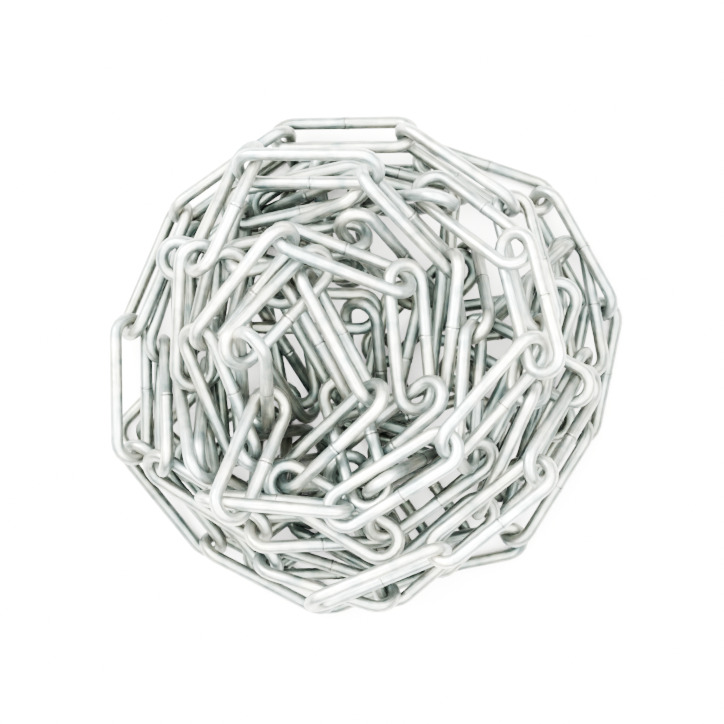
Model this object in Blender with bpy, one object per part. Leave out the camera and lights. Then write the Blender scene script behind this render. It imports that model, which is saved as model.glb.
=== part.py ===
"""A heap of long-link steel chain: one length of side-welded chain dropped on a flat floor."""

import math

import bmesh
import bpy
import numpy as np

# Chain sizes, in millimetres; angles are in radians.
METRES = 0.001
WIRE = 2.0
PITCH = 22.0
WIDTH = 8.0
BOW = (WIDTH - WIRE) / 2
HALF_LEG = PITCH / 2 + WIRE / 2 - BOW
TIP = HALF_LEG + BOW
TURN_STEPS = 4
WIRE_SIDES = 6
WIRE_CORNER = 1.05

# Heap: the eye that saw it, the levels of its layers, and the distances between wires.
EYE_HEIGHT = 375.0
LEVEL_HEIGHTS = (1.6, 5.0, 8.5, 12.0, 15.5, 19.0)
HIDDEN_LEVEL = 0.6
GAP = 2.24
JOINT_GAP = 2.34
FUSED_GAP = 1.75
FLOOR = 1.15
FLAT_ROLL = math.radians(60)
FLAT_HEIGHT = BOW * math.sin(FLAT_ROLL) + WIRE_CORNER * math.cos(math.radians(30))
FLAT_LINKS = (9,)

# Zinc plate: colour, and the small differences from node to node.
ZINC_COLOUR = (0.72, 0.74, 0.72)
ZINC_METALLIC = 0.85
ZINC_ROUGHNESS = 0.38
ZINC_SHADES = (1.0, 0.96, 1.03, 0.98, 0.94, 1.01)
POCKET_CORNERS = 40

# First laying of the links between their joints.
ROLL_CHOICES = tuple(math.radians(a) for a in (-60, -45, -30, -20, -12, -6, 6, 12, 20, 30, 45, 60))
ROLL_EASE = 0.35
START_ROLL = 0.12
START_FLATNESS = 0.6
START_HEIGHT = 1.5
HOOK_PRICE = 20.0
HOOK_ROOM = 0.6
UNHOOKED_PRICE = 50.0
THIN_LIFT = 0.5
LIFT_PASSES = 5
CROSSING_SHARES = (-0.05, 0.1, 0.25, 0.4, 0.55, 0.7, 0.85, 1.05)
CROSSING_REACH = 0.4
END_SLACK = 0.06

# Settling: passes, wire distance at the start and end, sink per pass, hold on the seen places.
STAGES = (
    (200, 0.8, 1.0, 0.003, 0.03),
    (200, 1.0, 1.3, 0.003, 0.03),
    (300, 1.3, 1.6, 0.003, 0.03),
    (400, 1.6, 1.9, 0.003, 0.03),
    (600, 1.9, 2.24, 0.003, 0.03),
    (700, 2.24, 2.24, 0.004, 0.02),
    (400, 2.24, 2.24, 0.001, 0.006),
    (1500, 2.24, 2.24, 0.0, 0.0),
)
SINK_STAGES = ((250, 0.45, 0.8, 0.006, 0.03),)
SINK_ROUNDS = 3
SETTLE_STRETCH = 0.985
THICKEN_SHARE = 0.8
CLEAR_ENOUGH = 0.02
ROLL_HOLD = 0.5
MOST_PULL = 2.0

# Pushing wires apart.
REBUILD = 6
REACH = 1.3
MOST_MOVE = 0.12
PUSH_BOOST = 1.3
PASSED_TURN = -0.2
PASSED_GAP = 0.6
MOST_DRAW = 0.5
MOST_CLOSE = 0.3
FUSE_FROM_GAP = 1.5
FLAT_TURN = 0.02
FLAT_DROP = 0.05

# Untangling links that were laid through each other.
UNTANGLE_PASSES = 500
LATE_UNTANGLE_PASSES = 200
UNTANGLE_ROUNDS = 3
UNTANGLE_GAP = 0.35
LAST_UNTANGLE_GAP = 1.9
UNTANGLE_STRETCH = 0.99
UNTANGLE_HOLD = 0.01
UNTANGLE_LIFT = 0.06
UNTANGLE_MOVE = 0.1
ORDER_LIFT = 0.7
SWAP_EVERY = 200
SWAP_AT = 198
REHOOK_BELOW_GAP = 1.0
REHOOK_TRIES = tuple(
    (math.radians(roll), lift)
    for roll, lift in sorted(
        ((r, z) for r in range(-60, 61, 10) for z in (-1.5, -1.0, -0.5, 0.0, 0.5, 1.0, 1.5)),
        key=lambda pose: (abs(pose[0]) / 20 + abs(pose[1]), pose),
    )
)

# Links seen in the photograph, in chain order: both tips as x and y at floor level, the distance
# between the legs as seen, the level of each tip, then how many links are hidden before the next
# row and to which side they bow. The last four rows are guessed, near the floor in the middle.
SEEN = (
    (-10.5, -42.6, 14.5, -33.9, 1.7, 1.0, 1.0, 0, 0),
    (10.6, -35.6, 31.4, -16.8, 3.4, 1.0, 2.0, 0, 0),
    (30.5, -19.5, 42.4, 2.4, 1.4, 2.0, 2.0, 2, 1),
    (33.3, 24.4, 42.8, -1.0, 5.6, 1.5, 1.5, 0, 0),
    (42.4, 4.4, 28.8, -19.5, 2.9, 2.5, 2.0, 0, 0),
    (30.7, -15.9, 11.3, -33.7, 1.4, 1.0, 1.0, 0, 0),
    (14.8, -34.9, -9.6, -44.7, 3.7, 0.0, 0.0, 0, 0),
    (-4.7, -43.8, -28.4, -31.1, 2.7, 0.0, 0.0, 0, 0),
    (-25.8, -33.9, -42.6, -12.4, 0.8, 0.0, 0.0, 0, 0),
    (-41.9, -15.7, -40.5, 10.3, 4.2, 0.0, 0.0, 0, 0),
    (-40.8, 6.1, -30.4, 31.6, 4.1, 0.0, 0.5, 0, 0),
    (-32.5, 28.3, -10.6, 42.8, 2.0, 0.0, 0.0, 0, 0),
    (-15.0, 43.1, 12.2, 41.5, 1.4, 0.0, 0.0, 0, 0),
    (8.2, 41.5, 32.3, 31.2, 1.4, 0.0, 0.5, 0, 0),
    (28.8, 33.9, 33.7, 7.0, 3.4, 1.5, 1.5, 0, 0),
    (31.9, 7.9, 24.6, -18.8, 3.4, 2.0, 2.0, 0, 0),
    (25.3, -14.1, 7.5, -33.2, 1.0, 2.0, 1.5, 0, 0),
    (8.7, -30.5, -18.2, -30.5, 1.7, 1.0, 1.0, 0, 0),
    (-19.5, -29.3, -42.1, -14.8, 3.4, 0.5, 0.5, 0, 0),
    (-36.0, -23.7, -35.3, 3.5, 3.4, 1.0, 1.0, 0, 0),
    (-36.0, -0.9, -32.1, 26.0, 1.7, 1.0, 1.0, 0, 0),
    (-31.6, 23.7, -8.6, 38.7, 1.4, 1.5, 1.5, 0, 0),
    (-12.2, 40.8, 13.8, 37.0, 4.4, 1.0, 1.0, 0, 0),
    (8.7, 37.9, 34.2, 27.9, 1.7, 1.5, 1.0, 0, 0),
    (31.1, 31.4, 43.6, 8.4, 0.8, 0.0, 0.0, 0, 0),
    (40.1, 11.3, 37.0, -15.0, 4.2, 0.0, 0.0, 0, 0),
    (37.5, -10.8, 24.6, -34.9, 0.8, 0.0, 0.0, 0, 0),
    (27.2, -31.9, 4.0, -42.4, 0.8, 0.0, 0.0, 0, 0),
    (7.0, -46.4, -15.7, -33.9, 3.7, 0.0, 0.0, 1, 0),
    (5.4, -25.0, -20.8, -25.0, 2.2, 1.0, 1.0, 2, -1),
    (-34.4, -19.2, -13.1, -34.6, 1.7, 0.5, 0.5, 0, 0),
    (-16.4, -31.6, 5.8, -42.8, 1.7, 0.0, 0.0, 0, 0),
    (2.8, -42.1, 20.6, -24.1, 2.0, 0.5, 0.5, 1, 0),
    (31.1, -9.1, 31.9, 17.5, 2.0, 1.5, 1.5, 1, 0),
    (32.5, -4.7, 25.0, -29.3, 2.5, 0.5, 0.5, 2, 1),
    (35.6, -8.7, 36.0, 17.5, 1.7, 1.0, 1.0, 2, 1),
    (18.2, 31.8, -8.0, 37.5, 2.0, 1.5, 1.5, 2, 1),
    (-27.7, 21.6, -5.6, 34.7, 3.4, 1.0, 1.0, 1, 0),
    (-19.7, 16.4, -9.6, -8.2, 6.1, 2.0, 2.0, 1, 0),
    (-22.2, 8.2, 4.0, 8.2, 5.9, 2.0, 2.0, 0, 0),
    (-2.1, 10.3, 2.8, -12.2, 3.4, 3.0, 3.0, 1, 0),
    (13.3, 7.3, -2.6, 29.5, 4.6, 3.5, 3.5, 0, 0),
    (1.7, 23.7, -24.6, 15.2, 5.1, 3.0, 3.0, 1, 0),
    (-28.8, -5.4, -28.3, 21.6, 4.2, 2.5, 2.5, 0, 0),
    (-29.5, 13.6, -19.5, 39.3, 4.9, 2.0, 2.0, 0, 0),
    (-22.3, 32.1, 4.5, 34.4, 2.0, 3.0, 3.0, 0, 0),
    (-0.3, 35.3, 19.5, 14.7, 1.4, 4.0, 4.5, 0, 0),
    (17.6, 19.2, 20.1, -8.7, 5.8, 4.0, 4.0, 0, 0),
    (22.3, -5.8, -3.5, -10.1, 4.7, 3.0, 3.0, 1, 0),
    (20.8, -13.3, -1.6, -27.2, 4.2, 3.0, 3.0, 1, 0),
    (-3.3, -7.2, -14.8, 16.2, 6.1, 3.0, 3.0, 1, 0),
    (-31.4, 21.6, -31.8, -5.4, 4.7, 1.5, 1.5, 0, 0),
    (-31.1, -1.4, -29.1, -22.3, 1.4, 1.0, 1.0, 2, -1),
    (-39.6, -10.6, -24.4, -31.9, 1.4, 0.0, 0.0, 1, 0),
    (-4.5, -19.7, -32.8, -16.8, 5.6, 2.0, 2.0, 0, 0),
    (-26.7, -18.5, -30.0, 5.1, 2.5, 2.0, 4.0, 0, 0),
    (-28.4, 3.1, -10.5, 24.6, 2.2, 5.0, 5.0, 0, 0),
    (-16.6, 23.4, 9.6, 12.6, 2.0, 4.5, 4.5, 0, 0),
    (7.5, 17.5, 8.9, -9.1, 5.6, 5.0, 4.5, 0, 0),
    (13.1, -4.2, -5.1, -22.2, 5.1, 4.0, 3.0, 1, 0),
    (8.4, -38.9, -13.4, -29.3, 2.0, 0.0, 0.0, 1, 0),
    (-24.8, -18.8, -26.0, 7.0, 2.5, 1.5, 1.5, 0, 0),
    (-27.4, 3.0, -17.5, 27.7, 1.4, 1.5, 1.5, 0, 0),
    (-20.8, 29.1, 1.9, 31.8, 1.4, 2.0, 2.0, 0, 0),
    (2.8, 31.8, -21.6, 22.2, 1.4, 1.0, 1.0, 1, 0),
    (-6.5, 30.9, 19.2, 24.4, 3.4, 1.0, 1.5, 0, 0),
    (11.5, 31.4, 29.0, 12.2, 5.6, 2.5, 3.0, 0, 0),
    (24.1, 27.9, 30.2, 0.9, 5.1, 4.0, 4.0, 0, 0),
    (31.1, 5.4, 14.8, -16.6, 5.6, 5.0, 5.0, 0, 0),
    (17.6, -13.6, -6.5, -28.8, 5.9, 4.5, 4.0, 0, 0),
    (-2.6, -27.6, -28.8, -22.0, 2.0, 2.5, 2.0, 0, 0),
    (-17.5, -30.9, -18.7, -2.8, 6.1, 3.0, 4.0, 0, 0),
    (-29.0, -13.6, -12.9, 6.6, 5.4, 3.5, 4.0, 0, 0),
    (-23.7, -1.0, -7.7, 20.4, 5.6, 4.0, 4.0, 0, 0),
    (-9.6, 18.5, -0.9, -8.0, 4.9, 4.0, 4.0, 0, 0),
    (3.0, -5.4, -14.3, -23.7, 2.4, 3.5, 2.5, 1, 0),
    (0.2, -31.1, 22.3, -16.2, 4.7, 2.5, 2.5, 0, 0),
    (16.6, -21.3, 25.5, 4.2, 3.4, 3.0, 3.0, 0, 0),
    (27.0, 2.0, 16.0, 23.0, 3.0, 2.0, 0.6, 0, 0),
    (15.5, 21.0, 3.5, 0.5, 3.0, 0.4, 0.4, 0, 0),
    (3.0, 4.0, 7.5, -19.5, 3.0, 0.4, 0.4, 0, 0),
    (6.5, -15.5, 15.0, -34.0, 3.0, 0.4, 0.3, 0, 0),
)


def loop_outline():
    """The centreline of a link as (along, across) points, with a point half-way along each leg."""
    points = []
    for end in (1, -1):
        for step in range(TURN_STEPS + 1):
            turn = math.pi * step / TURN_STEPS
            along = end * (HALF_LEG + BOW * math.sin(turn))
            points.append((along, end * BOW * math.cos(turn)))
        points.append((0.0, -end * BOW))
    return np.array(points)


OUTLINE = loop_outline()
N_POINTS = len(OUTLINE)


def dot(a, b):
    return a[..., 0] * b[..., 0] + a[..., 1] * b[..., 1] + a[..., 2] * b[..., 2]


def cross(a, b):
    x = a[..., 1] * b[..., 2] - a[..., 2] * b[..., 1]
    y = a[..., 2] * b[..., 0] - a[..., 0] * b[..., 2]
    z = a[..., 0] * b[..., 1] - a[..., 1] * b[..., 0]
    return np.stack([x, y, z], axis=-1)


def unit(a):
    return a / np.maximum(np.sqrt(dot(a, a)), 1e-9)[..., None]


def inertia():
    """Second moments of a link's centreline about its length, its width and its normal."""
    ends = np.roll(OUTLINE, -1, axis=0)
    total = along = across = 0.0
    for a, b in zip(OUTLINE.tolist(), ends.tolist()):
        size = math.hypot(b[0] - a[0], b[1] - a[1])
        total += size
        along += size * (a[0] * a[0] + a[0] * b[0] + b[0] * b[0]) / 3
        across += size * (a[1] * a[1] + a[1] * b[1] + b[1] * b[1]) / 3
    return across / total, along / total, (along + across) / total


INERTIA = inertia()


class Heap:
    """The pose of every link: centre, length direction and width direction."""

    def __init__(self, centre, length, width, stretch):
        self.centre = centre
        self.length = length
        self.width = width
        self.stretch = stretch

    def points(self):
        along = OUTLINE[:, 0][None, :, None] * self.stretch[:, None, None]
        across = OUTLINE[:, 1][None, :, None]
        return self.centre[:, None] + along * self.length[:, None] + across * self.width[:, None]

    def tidy(self):
        self.centre = np.round(self.centre, 6)
        self.length = np.round(unit(self.length), 9)
        across = self.width - self.length * dot(self.length, self.width)[:, None]
        self.width = np.round(unit(across), 9)

    def move(self, shift, turn):
        self.centre = self.centre + shift
        self.length = self.length + cross(turn, self.length)
        self.width = self.width + cross(turn, self.width)
        self.tidy()


def at_height(x, y, z):
    """Where a point seen at floor position x, y lies when it is at height z."""
    share = (EYE_HEIGHT - z) / EYE_HEIGHT
    return x * share, y * share


def level_height(level):
    low = min(int(level), len(LEVEL_HEIGHTS) - 2)
    part = level - low
    return LEVEL_HEIGHTS[low] * (1 - part) + LEVEL_HEIGHTS[low + 1] * part


def seen_tips(row):
    """The two joint points of a seen link, each inside its tip by one wire thickness."""
    x0, y0, x1, y1 = row[:4]
    size = math.hypot(x1 - x0, y1 - y0)
    inset = WIRE / size
    x0, x1 = x0 + (x1 - x0) * inset, x1 + (x0 - x1) * inset
    y0, y1 = y0 + (y1 - y0) * inset, y1 + (y0 - y1) * inset
    z0, z1 = level_height(row[5]), level_height(row[6])
    return (*at_height(x0, y0, z0), z0), (*at_height(x1, y1, z1), z1)


def hidden_joints(start, end, count, side):
    """Joints between hidden links: on an arc from start to end, near the floor."""
    if count < 2:
        return []
    dx, dy = end[0] - start[0], end[1] - start[1]
    gap = max(math.hypot(dx, dy), 1.0)
    rise = math.sqrt(max(PITCH * PITCH - gap * gap / 4, 0.0)) * (1 if side > 0 else -1)
    x = (start[0] + end[0]) / 2 - dy / gap * rise
    y = (start[1] + end[1]) / 2 + dx / gap * rise
    return [(x, y, level_height(HIDDEN_LEVEL))]


def chain_joints():
    """Every joint point along the chain, and for each link its row in SEEN or -1."""
    joints, rows = [], []
    tips = [seen_tips(row) for row in SEEN]
    for index, row in enumerate(SEEN):
        start, end = tips[index]
        if index and SEEN[index - 1][7] == 0:
            joints[-1] = tuple((a + b) / 2 for a, b in zip(joints[-1], start))
        else:
            joints.append(start)
        joints.append(end)
        rows.append(index)
        if row[7]:
            extra = hidden_joints(end, tips[index + 1][0], row[7], row[8])
            joints.extend(extra)
            rows.extend([-1] * row[7])
    return np.array(joints), rows


def frames(joints, rolls):
    """Links laid from joint to joint, each rolled about its length by its angle."""
    span = joints[1:] - joints[:-1]
    size = np.sqrt(dot(span, span))
    length = span / size[:, None]
    level = unit(np.stack([-length[:, 1], length[:, 0], np.zeros(len(size))], axis=-1))
    upward = cross(length, level)
    cos = np.array([math.cos(r) for r in rolls])[:, None]
    sin = np.array([math.sin(r) for r in rolls])[:, None]
    width = level * cos + upward * sin
    stretch = (size + 2 * (TIP - PITCH / 2)) / (2 * TIP)
    return Heap((joints[1:] + joints[:-1]) / 2, length, width, stretch)


def nearest(p1, q1, p2, q2):
    """The nearest points of two sets of segments, as shares along each."""
    d1, d2, r = q1 - p1, q2 - p2, p1 - p2
    a, e, f = dot(d1, d1), dot(d2, d2), dot(d2, r)
    c, b = dot(d1, r), dot(d1, d2)
    over = a * e - b * b
    s = np.where(over > 1e-9, (b * f - c * e) / np.where(over > 1e-9, over, 1.0), 0.5)
    s = np.clip(s, 0.0, 1.0)
    t = (b * s + f) / e
    kept = np.clip(t, 0.0, 1.0)
    s = np.where(t == kept, s, np.clip((b * kept - c) / a, 0.0, 1.0))
    return s, kept


def linked(loop_a, loop_b, plain=False):
    """How often each loop of the first set passes through the matching loop of the second, with sign."""
    centre = loop_b.sum(axis=1) / N_POINTS
    half = N_POINTS // 2
    axis = unit((loop_b[:, 2] - loop_b[:, 2 + half]))
    normal = unit(cross(axis, loop_b[:, 0] - loop_b[:, N_POINTS - 2 - half]))
    across = cross(normal, axis)
    reach = dot(loop_b[:, 0] - centre, axis)
    rel = loop_a - centre[:, None]
    height = dot(rel, normal[:, None])
    x, y = dot(rel, axis[:, None]), dot(rel, across[:, None])
    count = np.zeros(len(loop_a), int)
    times = np.zeros(len(loop_a), int)
    for k in range(N_POINTS):
        m = (k + 1) % N_POINTS
        h0, h1 = height[:, k], height[:, m]
        change = (h0 > 0) != (h1 > 0)
        part = h0 / np.where(h0 == h1, 1.0, h0 - h1)
        px = x[:, k] + (x[:, m] - x[:, k]) * part
        py = y[:, k] + (y[:, m] - y[:, k]) * part
        beyond = np.maximum(np.abs(px) - reach, 0.0)
        inside = beyond * beyond + py * py < BOW * BOW
        count += np.where(change & inside, np.where(h1 > h0, 1, -1), 0)
        times += change & inside
    return times if plain else count


def loop_gap(loop_a, loop_b):
    """The least distance between matching loops of two sets."""
    best = np.full(len(loop_a), 1e9)
    for k in range(N_POINTS):
        for m in range(N_POINTS):
            p1, q1 = loop_a[:, k], loop_a[:, (k + 1) % N_POINTS]
            p2, q2 = loop_b[:, m], loop_b[:, (m + 1) % N_POINTS]
            s, t = nearest(p1, q1, p2, q2)
            diff = p1 + (q1 - p1) * s[:, None] - p2 - (q2 - p2) * t[:, None]
            best = np.minimum(best, dot(diff, diff))
    return np.sqrt(best)


def hooked_rolls(joints, wanted):
    """Rolls close to the wanted ones for which every link passes through the next one."""
    count = len(wanted)
    loops = [frames(joints, [roll] * count).points() for roll in ROLL_CHOICES]
    n = len(ROLL_CHOICES)
    first = np.array([i for i in range(count - 1) for _ in range(n * n)])
    a = np.array([p for _ in range(count - 1) for p in range(n) for _ in range(n)])
    b = np.array([q for _ in range(count - 1) for _ in range(n) for q in range(n)])
    stack = np.array(loops)
    loop_a, loop_b = stack[a, first], stack[b, first + 1]
    good = np.abs(linked(loop_a, loop_b)) == 1
    gap = np.where(good, loop_gap(loop_a, loop_b), 0.0)
    price = np.where(good, HOOK_PRICE * np.maximum(HOOK_ROOM - gap, 0.0), UNHOOKED_PRICE)
    price = price.reshape(count - 1, n, n)
    angles = np.array(ROLL_CHOICES)
    own = [((np.abs(angles) - roll) / ROLL_EASE) ** 2 for roll in wanted]
    cost, back = own[0], []
    for i in range(1, count):
        table = cost[:, None] + price[i - 1]
        back.append(np.argmin(table, axis=0))
        cost = np.min(table, axis=0) + own[i]
    pick = [int(np.argmin(cost))]
    for step in reversed(back):
        pick.append(int(step[pick[-1]]))
    pick.reverse()
    return np.array([ROLL_CHOICES[p] for p in pick])


def crossings(joints, rolls):
    """Places where links that aren't neighbours lie over each other, with the lift each pair needs."""
    count = len(rolls)
    start, span = joints[:-1], joints[1:] - joints[:-1]
    level = np.array([1.0, 1.0, 0.0])
    size2 = np.maximum(dot(span * level, span * level), 1e-6)
    half = np.array([BOW * abs(math.cos(r)) for r in rolls])
    tall = np.array([BOW * abs(math.sin(r)) for r in rolls])
    found = {}
    for i in range(count):
        for share in CROSSING_SHARES:
            p = start[i] + span[i] * share
            rel = (p - start) * level
            t = np.clip(dot(rel, span) / size2, -END_SLACK, 1 + END_SLACK)
            q = start + span * t[:, None]
            away = np.sqrt((p[0] - q[:, 0]) ** 2 + (p[1] - q[:, 1]) ** 2)
            near = np.nonzero(away < half[i] + half + CROSSING_REACH)[0]
            for j in near.tolist():
                if abs(i - j) < 2:
                    continue
                key = (min(i, j), max(i, j))
                si, sj = (share, float(t[j])) if i < j else (float(t[j]), share)
                found.setdefault(key, []).append((si, sj))
    rows = []
    for number, ((i, j), places) in enumerate(sorted(found.items())):
        lift = tall[i] + tall[j] + THIN_LIFT
        rows.extend((i, j, si, sj, number, lift) for si, sj in places)
    return np.array(rows)


def spread_heights(joints, rolls):
    """Joint heights at which every link clears the ones that it crosses."""
    rows = crossings(joints, rolls)
    i, j, pair = [rows[:, k].astype(int) for k in (0, 1, 4)]
    si, sj, lift = rows[:, 2], rows[:, 3], rows[:, 5]
    z = joints[:, 2].copy()
    n = len(z)
    for step in range(LIFT_PASSES):
        zi = z[i] * (1 - si) + z[i + 1] * si
        zj = z[j] * (1 - sj) + z[j + 1] * sj
        high = np.bincount(pair, zi - zj)
        sign = np.where(high >= 0, 1.0, -1.0)[pair]
        short = np.maximum(lift - sign * (zi - zj), 0.0)
        push = 0.5 * short * sign
        total = np.zeros(n)
        weight = np.full(n, 1e-9)
        for idx, part, way in ((i, 1 - si, 1), (i + 1, si, 1), (j, 1 - sj, -1), (j + 1, sj, -1)):
            share = np.maximum(part, 0.0) * short
            total += np.bincount(idx, weights=way * push * share, minlength=n)
            weight += np.bincount(idx, weights=share, minlength=n)
        z = np.round(z + total / weight, 6)
    out = joints.copy()
    out[:, 2] = z - z.min() + START_HEIGHT
    return out


def near_segments(heap, gap):
    """Index rows of every pair of segments of different links that could touch before the next search."""
    reach = gap + REACH
    a = heap.centre - heap.length * (HALF_LEG * heap.stretch)[:, None]
    b = heap.centre + heap.length * (HALF_LEG * heap.stretch)[:, None]
    count = len(a)
    i, j = np.triu_indices(count, 1)
    s, t = nearest(a[i], b[i], a[j], b[j])
    diff = a[i] + (b[i] - a[i]) * s[:, None] - a[j] - (b[j] - a[j]) * t[:, None]
    limit = 2 * BOW + reach
    keep = dot(diff, diff) < limit * limit
    i, j = i[keep], j[keep]
    pts = heap.points()
    nxt = np.roll(pts, -1, axis=1)
    k, m = [v.ravel() for v in np.mgrid[0:N_POINTS, 0:N_POINTS]]
    ii, jj = np.repeat(i, len(k)), np.repeat(j, len(k))
    kk, mm = np.tile(k, len(i)), np.tile(m, len(i))
    middle = (pts + nxt) / 2
    half = nxt - pts
    half = np.sqrt(dot(half, half)) / 2
    diff = middle[ii, kk] - middle[jj, mm]
    limit = half[ii, kk] + half[jj, mm] + reach
    keep = dot(diff, diff) < limit * limit
    ii, jj, kk, mm = ii[keep], jj[keep], kk[keep], mm[keep]
    s, t = nearest(pts[ii, kk], nxt[ii, kk], pts[jj, mm], nxt[jj, mm])
    pa = pts[ii, kk] + (nxt[ii, kk] - pts[ii, kk]) * s[:, None]
    pb = pts[jj, mm] + (nxt[jj, mm] - pts[jj, mm]) * t[:, None]
    diff = pa - pb
    keep = dot(diff, diff) < reach * reach
    return ii[keep], jj[keep], kk[keep], mm[keep], unit(diff[keep])


def spin(turn_axis, heap, index):
    """Inverse inertia applied to a turning vector for each link in index."""
    u, w = heap.length[index], heap.width[index]
    v = cross(u, w)
    return (
        u * (dot(turn_axis, u) / INERTIA[0])[:, None]
        + w * (dot(turn_axis, w) / INERTIA[1])[:, None]
        + v * (dot(turn_axis, v) / INERTIA[2])[:, None]
    )


class Pushes:
    """Shifts and turns gathered for each link, weighted by how deep each contact is."""

    def __init__(self, count):
        self.count = count
        self.shift = np.zeros((count, 3))
        self.turn = np.zeros((count, 3))
        self.weight = np.full(count, 1e-9)

    def add(self, index, shift, turn, weight):
        for axis in range(3):
            self.shift[:, axis] += np.bincount(index, shift[:, axis] * weight, self.count)
            self.turn[:, axis] += np.bincount(index, turn[:, axis] * weight, self.count)
        self.weight += np.bincount(index, weight, self.count)

    def give(self, heap, most, boost):
        shift = boost * self.shift / self.weight[:, None]
        turn = boost * self.turn / self.weight[:, None]
        size = np.sqrt(dot(shift, shift)) + TIP * np.sqrt(dot(turn, turn))
        keep = np.minimum(1.0, most / np.maximum(size, 1e-9))[:, None]
        heap.move(shift * keep, turn * keep)


def contact(heap, pushes, i, j, pa, pb, normal, depth):
    """Gathers the pushes that part links i and j by depth along normal at points pa and pb."""
    ra, rb = pa - heap.centre[i], pb - heap.centre[j]
    ta, tb = cross(ra, normal), cross(rb, normal)
    sa, sb = spin(ta, heap, i), spin(tb, heap, j)
    ease = depth / (2.0 + dot(ta, sa) + dot(tb, sb))
    weight = np.abs(depth)
    pushes.add(i, normal * ease[:, None], sa * ease[:, None], weight)
    pushes.add(j, -normal * ease[:, None], -sb * ease[:, None], weight)


def part_wires(heap, near, gap, most):
    """One round of pushing apart every pair of segments closer than the gap."""
    i, j, k, m, before = near
    pts = heap.points()
    nxt = np.roll(pts, -1, axis=1)
    p1, q1, p2, q2 = pts[i, k], nxt[i, k], pts[j, m], nxt[j, m]
    s, t = nearest(p1, q1, p2, q2)
    pa = p1 + (q1 - p1) * s[:, None]
    pb = p2 + (q2 - p2) * t[:, None]
    diff = pa - pb
    away = np.sqrt(dot(diff, diff))
    normal = diff / np.maximum(away, 1e-6)[:, None]
    passed = (dot(normal, before) < PASSED_TURN) & (away < PASSED_GAP * gap)
    normal = np.where(passed[:, None], -normal, normal)
    away = np.where(passed, -away, away)
    before[:] = normal
    wanted = np.where(j == i + 1, gap * JOINT_GAP / GAP, gap)
    fused = (j == i + 1) & (i % 2 == 0)
    wanted = np.where(fused, gap * FUSED_GAP / GAP, wanted)
    depth = wanted - away
    hit = depth > 0
    pushes = Pushes(len(heap.centre))
    contact(heap, pushes, i[hit], j[hit], pa[hit], pb[hit], normal[hit], depth[hit])
    floor_push(heap, pushes, pts, gap)
    pull_joints(heap, pushes, gap)
    if gap > FUSE_FROM_GAP:
        fuse_pairs(heap, pushes, pts, nxt, gap)
    pushes.give(heap, most, PUSH_BOOST)
    pin_flat(heap)
    return float(depth.max()) if len(depth) else 0.0


def floor_push(heap, pushes, pts, gap):
    low = FLOOR - pts[..., 2]
    i, k = np.nonzero(low > 0)
    if not len(i):
        return
    normal = np.zeros((len(i), 3))
    normal[:, 2] = 1.0
    ra = pts[i, k] - heap.centre[i]
    turn = cross(ra, normal)
    swing = spin(turn, heap, i)
    ease = low[i, k] / (1.0 + dot(turn, swing))
    pushes.add(i, normal * ease[:, None], swing * ease[:, None], low[i, k])


def pull_joints(heap, pushes, gap):
    """Draws neighbours together where their bows are further apart than hooked links can be."""
    i = np.arange(len(heap.centre) - 1)
    arm = (TIP * heap.stretch - BOW)[:, None] * heap.length
    pa, pb = (heap.centre + arm)[:-1], (heap.centre - arm)[1:]
    diff = pb - pa
    away = np.sqrt(dot(diff, diff))
    over = away - (2 * BOW - gap)
    hit = over > 0
    normal = diff[hit] / away[hit][:, None]
    depth = np.minimum(over[hit], MOST_DRAW)
    contact(heap, pushes, i[hit], i[hit] + 1, pa[hit], pb[hit], normal, depth)


def fuse_pairs(heap, pushes, pts, nxt, gap):
    """Draws the bows of the two links of a node together until their wires bear on each other."""
    first = np.arange(0, len(heap.centre) - 1, 2)
    ends = [N_POINTS // 2 + step for step in range(TURN_STEPS)]
    k, m = np.meshgrid(np.arange(TURN_STEPS), np.array(ends), indexing="ij")
    k, m = k.ravel(), m.ravel()
    i = np.repeat(first, len(k))
    kk, mm = np.tile(k, len(first)), np.tile(m, len(first))
    p1, q1, p2, q2 = pts[i, kk], nxt[i, kk], pts[i + 1, mm], nxt[i + 1, mm]
    s, t = nearest(p1, q1, p2, q2)
    pa = p1 + (q1 - p1) * s[:, None]
    pb = p2 + (q2 - p2) * t[:, None]
    diff = pa - pb
    away = np.sqrt(dot(diff, diff)).reshape(len(first), len(k))
    best = np.argmin(away, axis=1) + np.arange(len(first)) * len(k)
    away = away.ravel()[best]
    open_by = away - gap * FUSED_GAP / GAP
    hit = open_by > 0
    best, open_by = best[hit], np.minimum(open_by[hit], MOST_CLOSE)
    normal = diff[best] / away[hit][:, None]
    contact(heap, pushes, i[best], i[best] + 1, pa[best], pb[best], normal, -open_by)


def pin_flat(heap):
    """Turns each link that lies on the floor so that one flat of its lower leg comes to rest on it."""
    for index in FLAT_LINKS:
        u, w = heap.length[index], heap.width[index]
        size = math.hypot(u[0], u[1])
        side = 1.0 if w[0] * -u[1] + w[1] * u[0] > 0 else -1.0
        up = 1.0 if w[2] > 0 else -1.0
        goal_u = np.array([u[0] / size, u[1] / size, 0.0])
        flat = side * math.cos(FLAT_ROLL)
        goal_w = np.array([-goal_u[1] * flat, goal_u[0] * flat, up * math.sin(FLAT_ROLL)])
        lean = (cross(u, goal_u) + cross(w, goal_w)) / 2
        size = math.sqrt(dot(lean, lean))
        if size < FLAT_TURN / 4:
            heap.length[index], heap.width[index] = goal_u, goal_w
        else:
            lean = lean * min(1.0, FLAT_TURN / size)
            heap.length[index] = u + cross(lean, u)
            heap.width[index] = w + cross(lean, w)
        drop = heap.centre[index, 2] - FLAT_HEIGHT
        heap.centre[index, 2] -= min(max(drop, -FLAT_DROP), FLAT_DROP)
    heap.tidy()


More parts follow.
